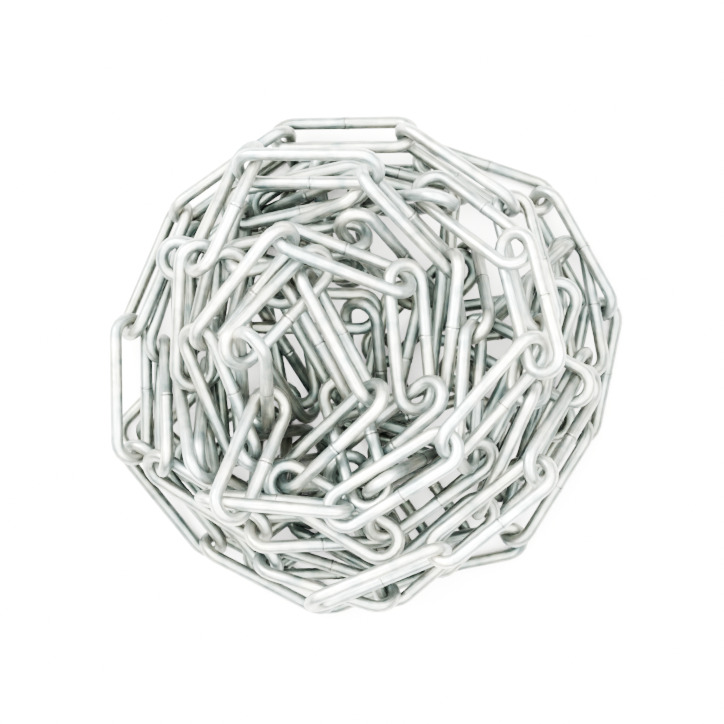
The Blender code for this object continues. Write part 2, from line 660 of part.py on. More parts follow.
def draw_to_places(heap, rows, hold, sink):
    """Sinks every link a little and draws the seen ones to the places where they are seen."""
    count = len(rows)
    shift = np.zeros((count, 3))
    turn = np.zeros((count, 3))
    shift[:, 2] -= sink
    seen = np.array([n for n in range(count) if rows[n] >= 0])
    for end, at in ((-1, 0), (1, 2)):
        tip = heap.centre[seen] + heap.length[seen] * (end * TIP)
        goal = np.array([tip_goal(SEEN[rows[n]], at) for n in seen.tolist()])
        share = (EYE_HEIGHT - tip[:, 2]) / EYE_HEIGHT
        off = np.stack([goal[:, 0] * share - tip[:, 0], goal[:, 1] * share - tip[:, 1]], axis=-1)
        off = np.clip(off, -MOST_PULL, MOST_PULL) * hold
        shift[seen, 0] += off[:, 0] / 2
        shift[seen, 1] += off[:, 1] / 2
        arm = heap.length[seen] * end
        turn[seen, 2] += (arm[:, 0] * off[:, 1] - arm[:, 1] * off[:, 0]) / (2 * TIP)
    turn[seen] += roll_pull(heap, rows, seen) * (hold * ROLL_HOLD)
    heap.move(shift, turn)


def roll_pull(heap, rows, seen):
    """Turning about its length that brings each seen link to the roll at which it is seen."""
    length, width = heap.length[seen], heap.width[seen]
    level = unit(np.stack([-length[:, 1], length[:, 0], np.zeros(len(seen))], axis=-1))
    lean = dot(width, cross(length, level))
    lean = np.where(dot(width, level) < 0, -lean, lean)
    share = np.array([min(SEEN[rows[n]][4] / (2 * BOW), 1.0) for n in seen.tolist()])
    wanted = np.where(lean < 0, -1.0, 1.0) * np.sqrt(1 - share * share)
    return length * (wanted - lean)[:, None]


def tip_goal(row, at):
    """Where the wire centre at a tip is seen: inside the outer edge by half the wire."""
    x, y, ox, oy = row[at], row[at + 1], row[2 - at], row[3 - at]
    inset = WIRE / 2 / math.hypot(ox - x, oy - y)
    return x + (ox - x) * inset, y + (oy - y) * inset


def tangled_pairs(heap):
    """Pairs of links that aren't neighbours yet pass through each other."""
    i, j = np.triu_indices(len(heap.centre), 2)
    diff = heap.centre[i] - heap.centre[j]
    close = dot(diff, diff) < (3 * TIP) ** 2
    i, j = i[close], j[close]
    pts = heap.points()
    bad = (linked(pts[i], pts[j], True) + linked(pts[j], pts[i], True)) > 0
    return i[bad], j[bad]


def plan_crossings(heap, i, j):
    """Where segments of links i and j cross as seen from above: indices, shares and height difference."""
    pts = heap.points()
    nxt = np.roll(pts, -1, axis=1)
    k, m = [v.ravel() for v in np.mgrid[0:N_POINTS, 0:N_POINTS]]
    number = np.repeat(np.arange(len(i)), len(k))
    ii, jj = i[number], j[number]
    kk, mm = np.tile(k, len(i)), np.tile(m, len(i))
    p, q = pts[ii, kk], pts[jj, mm]
    d, e = nxt[ii, kk] - p, nxt[jj, mm] - q
    over = d[:, 0] * e[:, 1] - d[:, 1] * e[:, 0]
    safe = np.where(np.abs(over) > 1e-9, over, 1e-9)
    r = q - p
    s = (r[:, 0] * e[:, 1] - r[:, 1] * e[:, 0]) / safe
    t = (r[:, 0] * d[:, 1] - r[:, 1] * d[:, 0]) / safe
    keep = (s >= 0) & (s <= 1) & (t >= 0) & (t <= 1)
    pa = (p + d * s[:, None])[keep]
    pb = (q + e * t[:, None])[keep]
    return number[keep], ii[keep], jj[keep], pa, pb


def part_in_height(heap, i, j, signs, most):
    """Moves each listed pair up and down until one lies wholly over the other."""
    number, ii, jj, pa, pb = plan_crossings(heap, i, j)
    sign = signs[number]
    depth = ORDER_LIFT - sign * (pa[:, 2] - pb[:, 2])
    hit = depth > 0
    normal = np.zeros((len(number), 3))
    normal[:, 2] = sign
    pushes = Pushes(len(heap.centre))
    contact(heap, pushes, ii[hit], jj[hit], pa[hit], pb[hit], normal[hit], depth[hit])
    pushes.give(heap, most, 1.0)


def rehook(heap):
    """Rolls or lifts a link just enough where it no longer passes through its neighbour."""
    pts = heap.points()
    loose = np.nonzero(np.abs(linked(pts[:-1], pts[1:])) != 1)[0]
    for first in loose.tolist():
        for roll, lift in REHOOK_TRIES:
            done = [try_pose(heap, which, roll, lift) for which in (first, first + 1)]
            best = [d for d in done if d]
            if best:
                which, centre, width = best[0]
                heap.centre[which] = centre
                heap.width[which] = width
                break
    heap.tidy()
    return len(loose)


def try_pose(heap, which, roll, lift):
    """The link's new centre and width if both its neighbours then pass through it, or None."""
    across = cross(heap.length[which], heap.width[which])
    width = heap.width[which] * math.cos(roll) + across * math.sin(roll)
    centre = heap.centre[which] + np.array([0.0, 0.0, lift])
    trial = Heap(heap.centre.copy(), heap.length, heap.width.copy(), heap.stretch)
    trial.centre[which] = centre
    trial.width[which] = width
    pts = trial.points()
    low, high = max(which - 1, 0), min(which + 1, len(pts) - 1)
    good = np.abs(linked(pts[low:high], pts[low + 1 : high + 1])) == 1
    return (which, centre, width) if bool(good.all()) else None


def untangle(heap, rows, gap, passes):
    """Works thin-wired links apart until only neighbours pass through each other."""
    signs = {}
    near = None
    for step in range(passes):
        if step % REBUILD == 0:
            loose = rehook(heap) if gap < REHOOK_BELOW_GAP else 0
            i, j = tangled_pairs(heap)
            if not len(i) and not loose:
                break
            number, _, _, pa, pb = plan_crossings(heap, i, j)
            high = np.bincount(number, pa[:, 2] - pb[:, 2], len(i))
            for n, key in enumerate(zip(i.tolist(), j.tolist())):
                signs.setdefault(key, 1.0 if high[n] > 0 else -1.0)
                if step % SWAP_EVERY == SWAP_AT:
                    signs[key] = -signs[key]
            way = np.array([signs[key] for key in zip(i.tolist(), j.tolist())])
            near = near_segments(heap, gap * 1.05)
            ghost = np.zeros((len(heap.centre), len(heap.centre)), bool)
            ghost[i, j] = True
            keep = ~ghost[near[0], near[1]]
            near = tuple(v[keep] for v in near)
        heap.stretch = 1 + (heap.stretch - 1) * UNTANGLE_STRETCH
        draw_to_places(heap, rows, UNTANGLE_HOLD, 0.0)
        part_in_height(heap, i, j, way, UNTANGLE_LIFT)
        for _ in range(UNTANGLE_ROUNDS):
            part_wires(heap, near, gap, UNTANGLE_MOVE)


def settle(heap, rows, stages):
    """Lets the heap sink and thickens its wires, stage by stage, until they only bear on each other."""
    for passes, gap_a, gap_b, sink, hold in stages:
        worst = 0.0
        near = None
        for step in range(passes):
            gap = gap_a + (gap_b - gap_a) * min(1.0, step / (THICKEN_SHARE * passes))
            heap.stretch = 1 + (heap.stretch - 1) * SETTLE_STRETCH
            if step % REBUILD == 0:
                near = near_segments(heap, gap * 1.05)
            if hold or sink:
                draw_to_places(heap, rows, hold, sink)
            worst = part_wires(heap, near, gap, MOST_MOVE)
            worst = part_wires(heap, near, gap, MOST_MOVE)
            if not hold and not sink and worst < CLEAR_ENOUGH:
                break
    return heap


def let_drop(heap, rows):
    """The whole fall: thin wires sink and are sorted out, then thicken to their real size."""
    for _ in range(SINK_ROUNDS):
        untangle(heap, rows, UNTANGLE_GAP, UNTANGLE_PASSES)
        settle(heap, rows, SINK_STAGES)
    untangle(heap, rows, UNTANGLE_GAP, UNTANGLE_PASSES)
    for stage in STAGES:
        if stage[1] < LAST_UNTANGLE_GAP:
            untangle(heap, rows, stage[1], LATE_UNTANGLE_PASSES)
        settle(heap, rows, (stage,))
    return heap


def link_rings():
    """The corners of a link's wire at each bend, as (along, across, lift)."""
    rings = []
    for end in (1, -1):
        for step in range(TURN_STEPS + 1):
            turn = math.pi * step / TURN_STEPS
            half_bend = math.pi / TURN_STEPS / 2
            mitre = turn
            if step in (0, TURN_STEPS):
                half_bend /= 2
                mitre += half_bend if step == 0 else -half_bend
            rings.append(ring_corners(end, turn, mitre, half_bend))
    return np.array(rings)


def ring_corners(end, turn, mitre, half_bend):
    """One cut across the wire: its flats face the link's two sides, so a link can lie flat."""
    ring = []
    for side in range(WIRE_SIDES):
        corner = 2 * math.pi * side / WIRE_SIDES
        out = WIRE_CORNER * math.cos(corner) / math.cos(half_bend)
        along = HALF_LEG + BOW * math.sin(turn) + out * math.sin(mitre)
        across = BOW * math.cos(turn) + out * math.cos(mitre)
        ring.append((end * along, end * across, WIRE_CORNER * math.sin(corner)))
    return ring


RINGS = link_rings()


def link_corners(heap, index):
    """Every wire corner of one link, in millimetres."""
    u, w = heap.length[index], heap.width[index]
    v = cross(u, w)
    along, across, lift = RINGS[..., 0:1], RINGS[..., 1:2], RINGS[..., 2:3]
    return heap.centre[index] + along * u + across * w + lift * v


def centred_corners(heap):
    """The corners of every link, with the heap centred on the origin and standing on the floor."""
    corners = [link_corners(heap, index) for index in range(len(heap.centre))]
    low = np.min([c.min(axis=(0, 1)) for c in corners], axis=0)
    high = np.max([c.max(axis=(0, 1)) for c in corners], axis=0)
    middle = np.array([(low[0] + high[0]) / 2, (low[1] + high[1]) / 2, low[2]])
    return [c - middle for c in corners]


def wire_object(name, corners):
    """A closed ring of wire as a mesh object."""
    count = len(corners)
    points = (corners.reshape(-1, 3) * METRES).tolist()
    faces = []
    for ring in range(count):
        after = (ring + 1) % count
        for side in range(WIRE_SIDES):
            turned = (side + 1) % WIRE_SIDES
            faces.append(
                (
                    ring * WIRE_SIDES + side,
                    ring * WIRE_SIDES + turned,
                    after * WIRE_SIDES + turned,
                    after * WIRE_SIDES + side,
                )
            )
    mesh = bpy.data.meshes.new(name)
    mesh.from_pydata(points, [], faces)
    shell = bmesh.new()
    shell.from_mesh(mesh)
    bmesh.ops.recalc_face_normals(shell, faces=shell.faces)
    shell.to_mesh(mesh)
    shell.free()
    made = bpy.data.objects.new(name, mesh)
    bpy.context.scene.collection.objects.link(made)
    return made


def fused(first, second):
    """Joins the second link into the first where their bows bear on each other."""
    join = first.modifiers.new("bearing", "BOOLEAN")
    join.operation = "UNION"
    join.solver = "EXACT"
    join.object = second
    graph = bpy.context.evaluated_depsgraph_get()
    mesh = bpy.data.meshes.new_from_object(first.evaluated_get(graph))
    first.modifiers.clear()
    first.data = mesh
    bpy.data.objects.remove(second)
    fill_pockets(mesh)
    return first


def fill_pockets(mesh):
    """Removes the walls of any small pocket that the join left sealed between the two bows."""
    shell = bmesh.new()
    shell.from_mesh(mesh)
    left = set(shell.verts)
    while left:
        island = reached_from(next(v for v in shell.verts if v in left))
        left -= island
        if len(island) < POCKET_CORNERS:
            bmesh.ops.delete(shell, geom=list(island), context="VERTS")
    shell.to_mesh(mesh)
    shell.free()


def reached_from(start):
    """Every vertex joined to this one by edges."""
    found, front = {start}, [start]
    while front:
        vert = front.pop()
        for edge in vert.link_edges:
            other = edge.other_vert(vert)
            if other not in found:
                found.add(other)
                front.append(other)
    return found


def zinc(name, shade):
    material = bpy.data.materials.new(name)
    material.use_nodes = True
    shader = material.node_tree.nodes["Principled BSDF"]
    shader.inputs["Base Color"].default_value = (*[c * shade for c in ZINC_COLOUR], 1.0)
    shader.inputs["Metallic"].default_value = ZINC_METALLIC
    shader.inputs["Roughness"].default_value = ZINC_ROUGHNESS
    material.diffuse_color = (*[c * shade for c in ZINC_COLOUR], 1.0)
    return material


def place_links():
    """The pose of every link of the settled heap."""
    joints, rows = chain_joints()
    joints[:, 2] *= START_FLATNESS
    wanted = [START_ROLL] * len(rows)
    joints = spread_heights(joints, hooked_rolls(joints, wanted))
    heap = frames(joints, hooked_rolls(joints, wanted))
    return let_drop(heap, rows)


def clear_scene():
    for old in list(bpy.data.objects):
        bpy.data.objects.remove(old)


def main():
    clear_scene()
    corners = centred_corners(place_links())
    for index in range(0, len(corners), 2):
        name = f"links_{index + 1:03d}_{index + 2:03d}"
        if index + 1 == len(corners):
            name = f"link_{index + 1:03d}"
        made = wire_object(name, corners[index])
        if index + 1 < len(corners):
            made = fused(made, wire_object("joined", corners[index + 1]))
        for face in made.data.polygons:
            face.use_smooth = True
        made.data.materials.clear()
        made.data.materials.append(zinc(name, ZINC_SHADES[index // 2 % len(ZINC_SHADES)]))


main()
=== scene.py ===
"""A heap of bright zinc-plated, side-welded, long-link steel chain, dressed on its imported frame.

One link is modelled, and a copy of it is laid over every link that the frame's nodes show.
"""

import math

import bpy
import numpy as np
from bpy.props import FloatProperty, FloatVectorProperty, IntProperty, PointerProperty
from bpy.types import Operator, Panel, PropertyGroup
from mathutils import Matrix, Vector


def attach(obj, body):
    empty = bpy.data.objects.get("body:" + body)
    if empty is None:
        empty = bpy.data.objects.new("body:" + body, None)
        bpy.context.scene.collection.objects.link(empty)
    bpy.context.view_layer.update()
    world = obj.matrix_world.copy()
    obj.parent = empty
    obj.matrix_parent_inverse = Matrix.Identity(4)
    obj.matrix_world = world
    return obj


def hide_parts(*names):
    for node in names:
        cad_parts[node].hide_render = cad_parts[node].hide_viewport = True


bl_info = {
    "name": "Heap of Steel Chain",
    "version": (1, 0, 0),
    "blender": (4, 5, 0),
    "location": "3D View > Sidebar > Chain Heap",
    "description": "Builds a heap of zinc-plated long-link steel chain and its studio",
    "category": "Object",
}

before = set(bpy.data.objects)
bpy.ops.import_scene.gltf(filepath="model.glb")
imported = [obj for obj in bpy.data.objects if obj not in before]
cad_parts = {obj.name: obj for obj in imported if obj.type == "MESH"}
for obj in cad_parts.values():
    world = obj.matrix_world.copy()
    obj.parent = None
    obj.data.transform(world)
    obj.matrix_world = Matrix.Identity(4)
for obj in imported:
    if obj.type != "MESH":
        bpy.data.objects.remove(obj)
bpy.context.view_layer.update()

# Sizes of a link, in metres.
MM = 0.001
HALF_LEG = 9 * MM
BOW = 3 * MM

# How the frame's links are made: six-sided wire, cut on the slant where a leg meets a bow.
FRAME_SIDES = 6
FRAME_CORNER = 1.05 * MM
FRAME_SLANT = math.radians(11.25)
EDGE_SLACK = 0.012 * MM
LEG_BREADTH = 2.1 * FRAME_CORNER
PAIR_SLACK = 4 * EDGE_SLACK
SAME_WAY = 0.99998
NEARLY_SAME_WAY = 0.9999
LINKS_IN_PAIR = 2

# Where the photograph was taken from: the eye's place over the floor, and its field of view.
EYE_X = -1.10789 * MM
EYE_Y = 0.90104 * MM
EYE_Z = 375 * MM
FOCAL_PIXELS = 2149
PICTURE_PIXELS = 724
SENSOR_MM = 36.0

# Shelter, for the shade painted under other wires: points on each bow's centreline, and the least
# distance at which a wire gives shelter.
BOW_POINTS = 5
LEG_POINTS = 8
OWN_WIRE = 1.6 * MM

# Weld, in millimetres: its rings as place along the leg and height, and how far its line strays.
WELD_RINGS = (
    (-0.7, 0.0),
    (-0.45, 0.07),
    (-0.16, 0.10),
    (0.0, -0.05),
    (0.16, 0.10),
    (0.45, 0.05),
    (0.7, 0.0),
)
WELD_WOBBLE = 0.5
MERGE = 0.01 * MM

# Plate: how fine each pattern on it is, in waves to the metre.
MOTTLE_SCALE = 330
CREAM_SCALE = 120
SPECK_SCALE = 160
SHEEN_SCALE = 700
GRAIN_SCALE = 900
BUMP_DEPTH = 0.06 * MM
BUMP_STRENGTH = 0.35
LESS_ROUGH = 0.07
MORE_ROUGH = 0.10

# Streaks left by drawing the wire: how often they change along it, round it, and from link to link.
STREAK = (0.22, 26.0, 0.0)
DRIFT = (60.0, 80.0, 50.0)

# Colours laid over each other, by how strong the pattern is. The scar goes by millimetres from it.
BLACK = (0.0, 0.0, 0.0)
STREAK_TINTS = ((0.36, (0.56, 0.60, 0.60)), (0.58, (1.0, 1.0, 1.0)))
CREAM_TINTS = ((0.40, (0.86, 0.96, 1.0)), (0.60, (1.0, 0.97, 0.90)))
SPECKS = ((0.765, BLACK), (0.80, (0.8, 0.8, 0.8)))
SCAR = (
    (0.0, (1.0, 1.0, 1.0)),
    (0.06, (0.9, 0.9, 0.9)),
    (0.13, (0.2, 0.2, 0.2)),
    (0.45, (0.12, 0.12, 0.12)),
    (0.7, BLACK),
)

# Studio, in metres.
FLOOR_SIZE = 6.0
FLOOR_ROUGHNESS = 0.9
OVERHEAD_PLACE = (0.0, 0.05, 0.75)
SIDE_PLACE = (-0.55, 0.35, 0.5)
SIDE_SIZE = 0.3
SIDE_SHARE = 0.15
LAMP_COLOUR = (1.0, 0.985, 0.95)
SKY_COLOUR = (0.72, 0.88, 1.0, 1.0)
NEAREST_SEEN = 0.01


class ChainSizes(PropertyGroup):
    wire: FloatProperty(
        name="Wire", description="Diameter of the wire", default=2.16 * MM, unit="LENGTH"
    )
    sides: IntProperty(name="Sides", description="Faces round the wire", default=14, min=8)
    bow_steps: IntProperty(name="Bow Steps", description="Bends in each bow", default=9, min=4)


class ZincLook(PropertyGroup):
    light: FloatVectorProperty(
        name="Light Zinc",
        description="Colour of the bright plated surface",
        subtype="COLOR",
        default=(0.38, 0.38, 0.35),
        min=0,
        max=1,
    )
    shade: FloatVectorProperty(
        name="Grey Zinc",
        description="Colour of the duller patches",
        subtype="COLOR",
        default=(0.14, 0.178, 0.175),
        min=0,
        max=1,
    )
    weld: FloatVectorProperty(
        name="Weld Tint",
        description="Colour of the weld scar",
        subtype="COLOR",
        default=(0.03, 0.03, 0.027),
        min=0,
        max=1,
    )
    rust: FloatVectorProperty(
        name="Rust",
        description="Colour of the small rust specks",
        subtype="COLOR",
        default=(0.06, 0.03, 0.015),
        min=0,
        max=1,
    )
    # Painted shade: this tint darkens the plate where other wires above cover it from the sky.
    inner: FloatVectorProperty(
        name="Inner Tint",
        description="Tint of the plate deep inside the heap, where it is dull",
        subtype="COLOR",
        default=(0.15, 0.18, 0.152),
        min=0,
        max=1,
    )
    roughness: FloatProperty(
        name="Roughness", description="Roughness of the zinc", default=0.39, min=0, max=1
    )


class StudioLook(PropertyGroup):
    floor: FloatVectorProperty(
        name="Floor",
        description="Colour of the floor",
        subtype="COLOR",
        default=(0.6, 0.6, 0.6),
        min=0,
        max=1,
    )
    lamp: FloatProperty(
        name="Overhead Lamp", description="Power of the overhead lamp", default=580.0, unit="POWER"
    )
    lamp_size: FloatProperty(
        name="Lamp Size", description="Breadth of the overhead lamp", default=2.0, unit="LENGTH"
    )
    sky: FloatProperty(name="Sky", description="Strength of the light all round", default=0.6)


def deselect():
    if bpy.context.object and bpy.context.object.mode != "OBJECT":
        bpy.ops.object.mode_set(mode="OBJECT")
    bpy.ops.object.select_all(action="DESELECT")


def long_edges(node):
    """Middle and direction of each long edge of a frame node, the uncut edges of its legs first."""
    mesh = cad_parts[node].data
    points = np.empty(len(mesh.vertices) * 3, np.float32)
    mesh.vertices.foreach_get("co", points)
    points = points.reshape(-1, 3).astype(float)
    ends = np.empty(len(mesh.edges) * 2, np.int32)
    mesh.edges.foreach_get("vertices", ends)
    a, b = points[ends[0::2]], points[ends[1::2]]
    size = np.sqrt(((b - a) ** 2).sum(axis=1))
    turns = [2 * math.pi * side / FRAME_SIDES for side in range(FRAME_SIDES // 2 + 1)]
    slant = math.tan(FRAME_SLANT) * FRAME_CORNER
    whole = np.array([2 * (HALF_LEG + slant * math.cos(turn)) for turn in turns])
    cut = np.abs(size[:, None] - whole).min(axis=1) > EDGE_SLACK
    found = {}
    for index in np.nonzero(size > HALF_LEG)[0].tolist():
        middle, way = (a[index] + b[index]) / 2, (b[index] - a[index]) / size[index]
        key = (bool(cut[index]), *np.round(middle / EDGE_SLACK).astype(int).tolist())
        found.setdefault(key, (middle, way))
    return [(not key[0], *found[key]) for key in sorted(found)]


def off_line(leg, middle):
    """How far a point lies sideways from the first edge of a leg, as a vector."""
    _, start, way = leg[0]
    return (middle - start) - way * float((middle - start) @ way)


def same_leg(leg, edge):
    """Whether a long edge runs along the leg that these edges belong to."""
    whole, middle, way = edge
    apart = off_line(leg, middle)
    ahead = abs(float((middle - leg[0][1]) @ way))
    if abs(float(leg[0][2] @ way)) < SAME_WAY or float(apart @ apart) > LEG_BREADTH**2:
        return False
    return ahead < (EDGE_SLACK if whole else HALF_LEG)


def leg_axes(node):
    """Middle and direction of each leg: the centre of the circle that its edges stand on."""
    legs = []
    for edge in long_edges(node):
        home = next((leg for leg in legs if same_leg(leg, edge)), None)
        if home is not None:
            home.append(edge)
        elif edge[0]:
            legs.append([edge])
    axes = []
    for leg in legs:
        _, start, way = leg[0]
        side = np.cross(way, np.eye(3)[np.argmin(np.abs(way))])
        side /= math.sqrt(float(side @ side))
        lift = np.cross(way, side)
        offs = [off_line(leg, middle) for _, middle, _ in leg]
        flat = {(round(float(off @ side), 6), round(float(off @ lift), 6)) for off in offs}
        flat = np.array(sorted(flat))
        if len(flat) < 3:
            continue
        rows = np.column_stack([2 * flat, np.full(len(flat), FRAME_CORNER)])
        x, y, _ = np.linalg.lstsq(rows, (flat**2).sum(axis=1), rcond=None)[0]
        axes.append((start + x * side + y * lift, way))
    return axes


def link_poses(node):
    """The pose of each link in a frame node, from the pairs of legs that lie side by side."""
    axes = leg_axes(node)
    poses, used = [], set()
    for i, (mid_a, way) in enumerate(axes):
        for j in range(i + 1, len(axes)):
            mid_b, other = axes[j]
            across = mid_b - mid_a
            size = math.sqrt(float(across @ across))
            if i in used or j in used or abs(size - 2 * BOW) > PAIR_SLACK:
                continue
            if abs(float(other @ way)) < NEARLY_SAME_WAY or abs(float(across @ way)) > PAIR_SLACK:
                continue
            used.update((i, j))
            poses.append(pose((mid_a + mid_b) / 2, way, across / size))
    return poses


def pose(centre, along, across):
    """The matrix that lays a link: its length along, its width across, its middle at centre."""
    length = Vector(along).normalized()
    width = Vector(across)
    width = (width - length * width.dot(length)).normalized()
    turn = Matrix((length, width, length.cross(width))).transposed()
    return Matrix.Translation(Vector(centre)) @ turn.to_4x4()


def model_link(sizes):
    """One link of round wire with a weld half-way along one leg."""
    deselect()
    bpy.ops.mesh.primitive_circle_add(
        vertices=sizes.sides,
        radius=sizes.wire / 2,
        fill_type="NOTHING",
        location=(WELD_RINGS[0][0] * MM, BOW, 0),
        rotation=(0, math.pi / 2, 0),
    )
    link = bpy.context.object
    link.name = link.data.name = "link"
    bpy.ops.object.transform_apply(location=True, rotation=True, scale=True)
    bpy.ops.object.mode_set(mode="EDIT")
    bpy.ops.mesh.select_mode(type="EDGE")
    bpy.ops.mesh.select_all(action="SELECT")
    swell = 1.0
    for (before, _), (place, rise) in zip(WELD_RINGS, WELD_RINGS[1:]):
        slide((place - before) * MM)
        wanted = 1.0 + rise * MM / (sizes.wire / 2)
        scale_ring(wanted / swell, (place * MM, BOW, 0))
        swell = wanted
    slide(HALF_LEG - WELD_RINGS[-1][0] * MM)
    bend(sizes, HALF_LEG)
    slide(-2 * HALF_LEG)
    bend(sizes, -HALF_LEG)
    slide(HALF_LEG + WELD_RINGS[0][0] * MM)
    bpy.ops.mesh.select_all(action="SELECT")
    bpy.ops.mesh.remove_doubles(threshold=MERGE)
    bpy.ops.mesh.normals_make_consistent(inside=False)
    bpy.ops.object.mode_set(mode="OBJECT")
    bpy.ops.object.shade_smooth()
    return link


def slide(distance):
    """Extrudes the selected ring of edges along the leg."""
    bpy.ops.mesh.extrude_region_move(TRANSFORM_OT_translate={"value": (distance, 0, 0)})


def scale_ring(size, centre):
    bpy.ops.transform.resize(value=(1, size, size), center_override=centre)


def bend(sizes, place):
    """Spins the selected ring half a turn round the bow's centre."""
    bpy.ops.mesh.spin(
        steps=sizes.bow_steps, angle=math.pi, center=(place, 0, 0), axis=(0, 0, 1)
    )


def wire_map(link):
    """Lays a UV map over the wire: the distance along it and the way round it."""
    layer = link.data.uv_layers.new(name="Wire")
    corners = [wire_place(v.co) for v in link.data.vertices]
    lap = 4 * HALF_LEG + 2 * math.pi * BOW
    for polygon in link.data.polygons:
        places = [corners[link.data.loops[i].vertex_index] for i in polygon.loop_indices]
        first = places[0]
        for loop, (along, round_it) in zip(polygon.loop_indices, places):
            along += lap * round((first[0] - along) / lap)
            round_it += round(first[1] - round_it)
            layer.data[loop].uv = (along / MM, round_it)


def wire_place(point):
    """Distance along the wire from the weld, and the share of a turn round the wire."""
    x, y, z = point
    if abs(x) <= HALF_LEG:
        out = (y if y > 0 else -y) - BOW
        if y > 0:
            along = x
        else:
            along = 2 * HALF_LEG + math.pi * BOW - x
    else:
        end = 1 if x > 0 else -1
        turn = math.atan2(y * end, abs(x) - HALF_LEG)
        out = math.hypot(abs(x) - HALF_LEG, y) - BOW
        travel = (math.pi / 2 - turn) * BOW
        along = HALF_LEG + travel if end > 0 else 3 * HALF_LEG + math.pi * BOW + travel
    return along, math.atan2(z, out) / (2 * math.pi)


class CHAINHEAP_OT_links(Operator):
    """Model one link and lay a copy over every link of the heap"""

    bl_idname = "chain_heap.links"
    bl_label = "Chain Links"

    def execute(self, context):
        first = model_link(context.scene.chain_sizes)
        wire_map(first)
        first.data.materials.append(zinc(context.scene.zinc_look))
        laid = []
        for node in sorted(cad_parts):
            poses = link_poses(node)
            wanted = LINKS_IN_PAIR if node.startswith("links_") else 1
            if len(poses) != wanted:
                raise RuntimeError(f"{node} shows {len(poses)} links, not {wanted}")
            for matrix in poses:
                laid.append((lay_link(first, matrix, len(laid) + 1, node), matrix))
        bpy.data.objects.remove(first)
        # Painted shade: each link notes how much of the sky the other wires cover, and the zinc is
        # darkened by that amount.
        wires = np.concatenate([wire_points(matrix) for _, matrix in laid])
        for link, _ in laid:
            note_shelter(link.data, wires)
        return {"FINISHED"}


def lay_link(first, matrix, number, node):
    """A copy of the modelled link with its own mesh, laid in place."""
    mesh = first.data.copy()
    mesh.transform(matrix)
    link = bpy.data.objects.new(f"link_{number:03d}", mesh)
    bpy.context.scene.collection.objects.link(link)
    mesh.name = link.name
    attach(link, "root")
    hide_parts(node)
    return link


def wire_points(matrix):
    """Points along the centreline of a laid link, each with the length of wire it stands for."""
    points = []
    for end in (1, -1):
        for step in range(BOW_POINTS):
            turn = math.pi * (step + 0.5) / BOW_POINTS
            place = (end * (HALF_LEG + BOW * math.sin(turn)), end * BOW * math.cos(turn), 0.0)
            points.append((*(matrix @ Vector(place)), math.pi * BOW / BOW_POINTS))
        for step in range(LEG_POINTS):
            along = HALF_LEG * (2 * (step + 0.5) / LEG_POINTS - 1)
            points.append((*(matrix @ Vector((along, end * BOW, 0.0))), 2 * HALF_LEG / LEG_POINTS))
    return np.array(points)


def note_shelter(mesh, wires):
    """Notes at each vertex how much of the sky the wires above it take away, from 0 to 1, as the
    amount of shade painted on the zinc.
    """
    places = np.array([v.co for v in mesh.vertices])
    rise = wires[None, :, 2] - places[:, 2:3]
    away = (wires[None, :, 0] - places[:, 0:1]) ** 2 + (wires[None, :, 1] - places[:, 1:2]) ** 2
    away = np.sqrt(away + rise**2)
    width = bpy.context.scene.chain_sizes.wire
    taken = width * wires[None, :, 3] * rise / (math.pi * np.maximum(away, OWN_WIRE) ** 3)
    taken = np.where((rise > 0) & (away > OWN_WIRE), taken, 0.0).sum(axis=1)
    shelter = mesh.attributes.new(name="Shelter", type="FLOAT", domain="POINT")
    shelter.data.foreach_set("value", (1 - np.exp(-taken)).astype(np.float32))


class Nodes:
    """Shader nodes of one material, made and joined up in one call each."""

    def __init__(self, material):
        self.nodes = material.node_tree.nodes
        self.links = material.node_tree.links
        self.object = self.nodes.new("ShaderNodeTexCoord").outputs["Object"]

    def put(self, value, socket):
        """Sets a socket to a number or tuple, or joins another node's output to it."""
        if isinstance(value, (int, float, tuple)):
            socket.default_value = value
        else:
            self.links.new(value, socket)

    def noise(self, scale, detail, roughness=0.5, place=None):
        made = self.nodes.new("ShaderNodeTexNoise")
        made.inputs["Scale"].default_value = scale
        made.inputs["Detail"].default_value = detail
        made.inputs["Roughness"].default_value = roughness
        self.links.new(place or self.object, made.inputs["Vector"])
        return made.outputs

    def ramp(self, source, stops):
        made = self.nodes.new("ShaderNodeValToRGB")
        for index, (place, colour) in enumerate(stops):
            elements = made.color_ramp.elements
            stop = elements[index] if index < 2 else elements.new(place)
            stop.position = place
            stop.color = (*colour, 1.0)
        self.links.new(source, made.inputs["Fac"])
        return made.outputs["Color"]

    def mix(self, kind, amount, first, second):
        made = self.nodes.new("ShaderNodeMix")
        made.data_type = "RGBA"
        made.blend_type = kind
        for value, socket in ((amount, 0), (first, 6), (second, 7)):
            value = (*value, 1.0) if isinstance(value, tuple) else value
            self.put(value, made.inputs[socket])
        return made.outputs[2]

    def vector(self, kind, first, second):
        made = self.nodes.new("ShaderNodeVectorMath")
        made.operation = kind
        self.put(first, made.inputs[0])
        self.put(second, made.inputs[1])
        return made.outputs["Value" if kind == "DOT_PRODUCT" else "Vector"]


